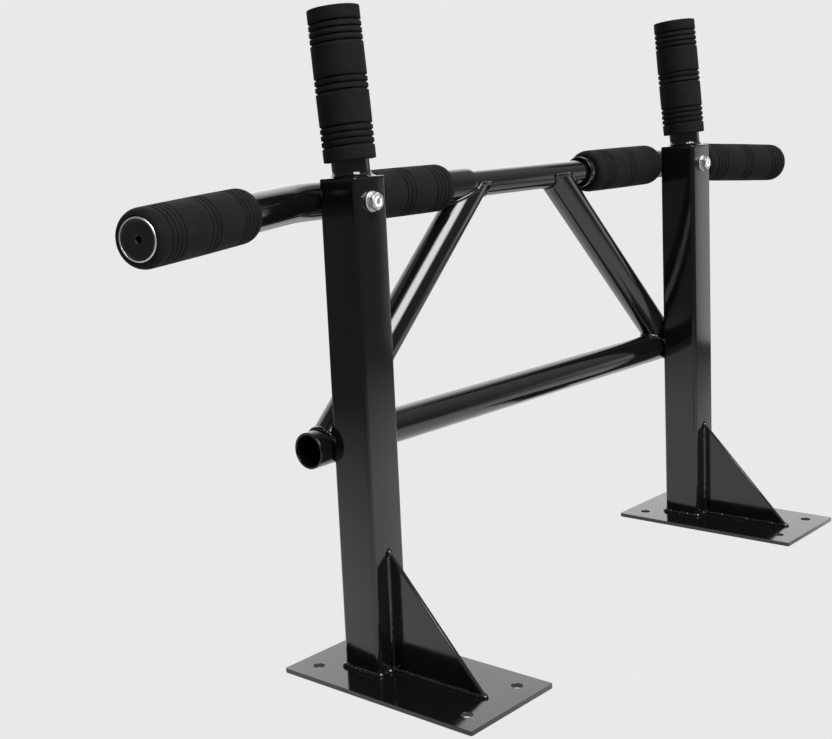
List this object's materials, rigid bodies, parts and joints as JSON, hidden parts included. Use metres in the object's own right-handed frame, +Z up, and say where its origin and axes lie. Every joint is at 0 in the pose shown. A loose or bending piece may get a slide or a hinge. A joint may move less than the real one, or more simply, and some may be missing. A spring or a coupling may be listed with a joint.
{
  "type": "parallel bars",
  "caption": "Bolted steel dip and pull-up station: upright padded handles on square posts, a bent grip bar behind them, diagonal braces, a lower tube and gusseted base plates.",
  "frame": {"origin": "middle of the model's box, at the floor under its base plates", "axes": "+Z up along the posts, +X along the bars towards the right post, -Y to the front, where the gussets and the bolt heads are"},
  "size_m": [1.0282, 0.2077, 0.5656],
  "materials": {
    "painted_tube": "gloss black powder coat on tube",
    "painted_plate": "gloss black powder coat on flat plate",
    "foam": "matte closed-cell foam with turned grooves",
    "plastic": "moulded satin black",
    "zinc": "bright zinc plating"
  },
  "bodies": {
    "root": {"base_plate_left": "painted_plate", "base_plate_right": "painted_plate", "gusset_left": "painted_plate", "gusset_right": "painted_plate", "post_left": "painted_tube", "post_right": "painted_tube", "post_cap_left": "painted_tube", "post_cap_right": "painted_tube", "handle_tube_left": "painted_tube", "handle_tube_right": "painted_tube", "side_bar_left": "painted_tube", "side_bar_right": "painted_tube", "brace_left": "painted_tube", "brace_right": "painted_tube", "handle_grip_left": "foam", "handle_grip_right": "foam", "inner_grip_left": "foam", "inner_grip_right": "foam", "outer_grip_left": "foam", "outer_grip_right": "foam", "handle_plug_left": "plastic", "handle_plug_right": "plastic", "end_plug_left": "plastic", "end_plug_right": "plastic", "bolt_left": "zinc", "bolt_right": "zinc", "nut_left": "zinc", "nut_right": "zinc", "washer_front_left": "zinc", "washer_front_right": "zinc", "washer_rear_left": "zinc", "washer_rear_right": "zinc", "centre_bar": "painted_tube", "lower_tube": "painted_tube"}
  },
  "joints": []
}
